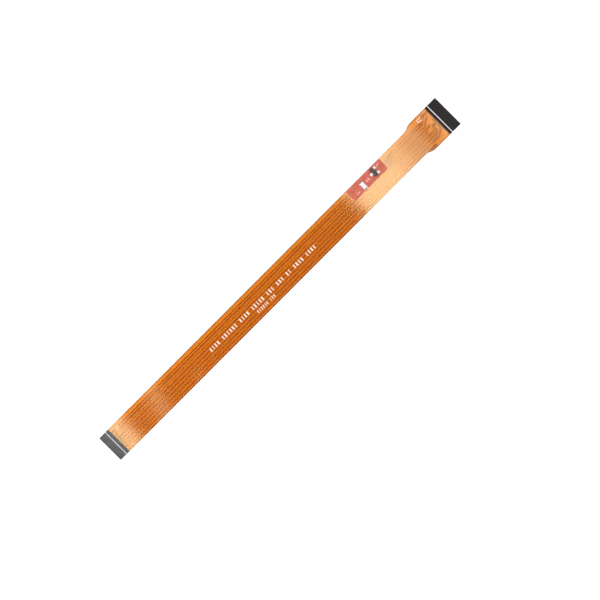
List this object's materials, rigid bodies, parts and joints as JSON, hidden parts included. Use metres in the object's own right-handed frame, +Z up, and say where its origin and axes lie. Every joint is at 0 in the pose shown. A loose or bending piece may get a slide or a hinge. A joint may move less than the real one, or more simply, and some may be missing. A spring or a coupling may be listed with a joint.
{
  "type": "flat flex cable",
  "caption": "Long flat amber printed flex cable with black stiffened ends, gold contacts on the back, fine copper traces and a small red window with a transistor and a chip",
  "frame": {"origin": "under the middle of the cable, at the level of the surface it lies on", "axes": "X along the cable towards the wide tail, Y across it towards the edge with the component window, Z up, out of the component side"},
  "size_m": [0.15, 0.0116, 0.0014],
  "materials": {
    "amber_film": "clear amber polyimide film, smooth",
    "cover_film": "clear amber polyimide cover film, glossy, gently wavy",
    "red_mask": "brick red solder mask, semi gloss",
    "copper": "rolled copper foil, satin",
    "gold_plating": "thin gold plating over nickel, satin",
    "black_stiffener": "black polyimide stiffener sheet, satin",
    "grey_stiffener": "dark grey glass epoxy plate, matte",
    "glue_sheet": "beige thermosetting glue sheet",
    "solder": "bright reflowed solder",
    "tinned_lead": "matte tin plating",
    "moulded_black": "black moulding compound, fine grain",
    "ceramic": "pale lilac grey ceramic"
  },
  "bodies": {
    "root": {"base_film": "amber_film", "front_cover_film": "cover_film", "back_cover_film": "cover_film", "component_mask": "red_mask", "front_supply_trace": "copper", "front_ground": "copper", "guard_trace_1": "copper", "guard_trace_6": "copper", "guard_trace_7": "copper", "guard_trace_8": "copper", "signal_pair_1": "copper", "signal_pair_2": "copper", "signal_pair_3": "copper", "signal_pair_4": "copper", "signal_pair_5": "copper", "enable_trace": "copper", "bus_traces": "copper", "ground_plane": "copper", "back_supply_trace": "copper", "wide_tail_fanout": "copper", "narrow_tail_fanout": "copper", "plated_vias": "copper", "wide_tail_contacts": "gold_plating", "narrow_tail_contacts": "gold_plating", "wide_tail_stiffener": "black_stiffener", "narrow_tail_stiffener": "black_stiffener", "component_stiffener": "grey_stiffener", "stiffener_glue": "glue_sheet", "transistor_pads": "solder", "chip_pads": "solder", "transistor_body": "moulded_black", "gate_lead": "tinned_lead", "source_lead": "tinned_lead", "drain_lead": "tinned_lead", "transistor_solder": "solder", "chip_body": "ceramic", "chip_end_caps": "tinned_lead", "chip_solder": "solder"}
  },
  "joints": []
}
